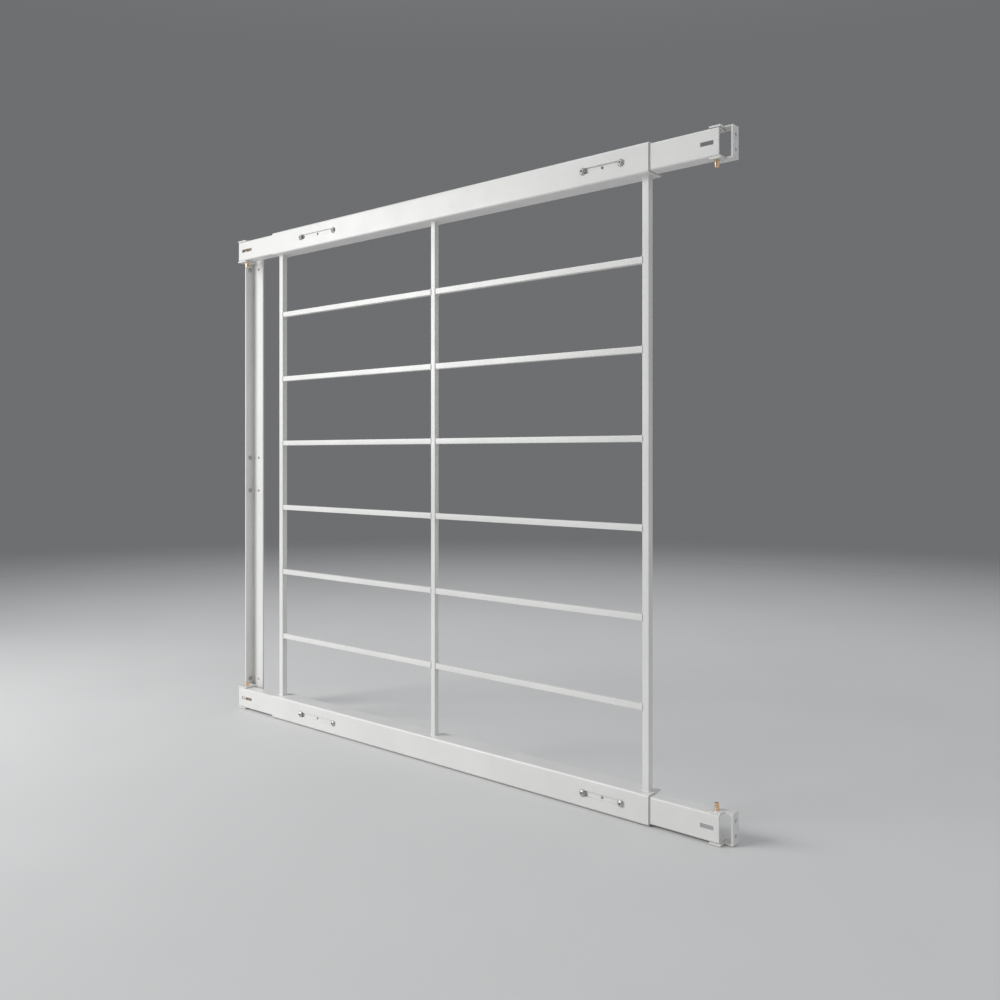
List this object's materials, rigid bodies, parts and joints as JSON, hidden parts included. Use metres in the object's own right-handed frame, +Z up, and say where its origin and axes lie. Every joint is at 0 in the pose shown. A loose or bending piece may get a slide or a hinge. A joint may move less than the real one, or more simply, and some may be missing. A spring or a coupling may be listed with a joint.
{
  "type": "window security bar",
  "caption": "Hinged, width-adjustable window security guard: a grille of square bars between telescoping channel rails, on jamb brackets with pull-out pins.",
  "frame": {"origin": "centre of the hinge plate's flat face against the left jamb, at mid-height", "axes": "+X across the window towards the latch side, +Y from the room side to the glass side, +Z up"},
  "size_m": [1.11, 0.0455, 0.959],
  "materials": {
    "white_paint": "semi-gloss white powder coat",
    "plated_screw": "zinc plated",
    "brass_pin": "worn brass"
  },
  "bodies": {
    "wall_plate": {"hinge_plate": "white_paint", "hinge_bracket_top": "white_paint", "hinge_bracket_bottom": "white_paint", "hinge_plate_screw_1": "plated_screw", "hinge_plate_screw_2": "plated_screw", "hinge_plate_screw_3": "plated_screw", "hinge_plate_screw_4": "plated_screw"},
    "left_extensions": {"inner_channel_top_left": "white_paint", "inner_channel_bottom_left": "white_paint"},
    "grille": {"outer_channel_top": "white_paint", "outer_channel_bottom": "white_paint", "vertical_bar_left": "white_paint", "vertical_bar_centre": "white_paint", "vertical_bar_right": "white_paint", "rung_left_1": "white_paint", "rung_left_2": "white_paint", "rung_left_3": "white_paint", "rung_left_4": "white_paint", "rung_left_5": "white_paint", "rung_left_6": "white_paint", "rung_right_1": "white_paint", "rung_right_2": "white_paint", "rung_right_3": "white_paint", "rung_right_4": "white_paint", "rung_right_5": "white_paint", "rung_right_6": "white_paint", "clamp_screw_top_left_1": "plated_screw", "clamp_screw_top_left_2": "plated_screw", "clamp_screw_top_right_1": "plated_screw", "clamp_screw_top_right_2": "plated_screw", "clamp_screw_bottom_left_1": "plated_screw", "clamp_screw_bottom_left_2": "plated_screw", "clamp_screw_bottom_right_1": "plated_screw", "clamp_screw_bottom_right_2": "plated_screw"},
    "top_right_extension": {"inner_channel_top_right": "white_paint"},
    "top_latch_bracket": {"latch_bracket_top": "white_paint", "latch_screw_top_1": "plated_screw", "latch_screw_top_2": "plated_screw"},
    "top_latch_pin": {"latch_pin_top": "brass_pin"},
    "top_hinge_pin": {"hinge_pin_top": "brass_pin"},
    "bottom_right_extension": {"inner_channel_bottom_right": "white_paint"},
    "bottom_latch_bracket": {"latch_bracket_bottom": "white_paint", "latch_screw_bottom_1": "plated_screw", "latch_screw_bottom_2": "plated_screw"},
    "bottom_latch_pin": {"latch_pin_bottom": "brass_pin"},
    "bottom_hinge_pin": {"hinge_pin_bottom": "brass_pin"}
  },
  "joints": [
    {"name": "guard_swing", "type": "hinge", "parent": "wall_plate", "child": "left_extensions", "pos_m": [0.021, -0.0197, 0], "axis": [0, 0, -1], "range_deg": [0, 90]},
    {"name": "left_width_slide", "type": "slide", "parent": "left_extensions", "child": "grille", "axis": [1, 0, 0], "range_m": [-0.08, 0.1]},
    {"name": "top_right_width_slide", "type": "slide", "parent": "grille", "child": "top_right_extension", "axis": [1, 0, 0], "range_m": [-0.08, 0.1]},
    {"name": "bottom_right_width_slide", "type": "slide", "parent": "grille", "child": "bottom_right_extension", "axis": [1, 0, 0], "range_m": [-0.08, 0.1]},
    {"name": "top_latch_bracket_pivot", "type": "hinge", "parent": "top_right_extension", "child": "top_latch_bracket", "pos_m": [1.087, -0.0197, 0.4575], "axis": [0, 0, 1], "range_deg": [-90, 90]},
    {"name": "bottom_latch_bracket_pivot", "type": "hinge", "parent": "bottom_right_extension", "child": "bottom_latch_bracket", "pos_m": [1.087, -0.0197, -0.4575], "axis": [0, 0, 1], "range_deg": [-90, 90]},
    {"name": "top_latch_pin_pull", "type": "slide", "parent": "top_latch_bracket", "child": "top_latch_pin", "axis": [0, 0, -1], "range_m": [0, 0.055]},
    {"name": "top_hinge_pin_pull", "type": "slide", "parent": "wall_plate", "child": "top_hinge_pin", "axis": [0, 0, -1], "range_m": [0, 0.055]},
    {"name": "bottom_latch_pin_pull", "type": "slide", "parent": "bottom_latch_bracket", "child": "bottom_latch_pin", "axis": [0, 0, 1], "range_m": [0, 0.055]},
    {"name": "bottom_hinge_pin_pull", "type": "slide", "parent": "wall_plate", "child": "bottom_hinge_pin", "axis": [0, 0, 1], "range_m": [0, 0.055]}
  ]
}
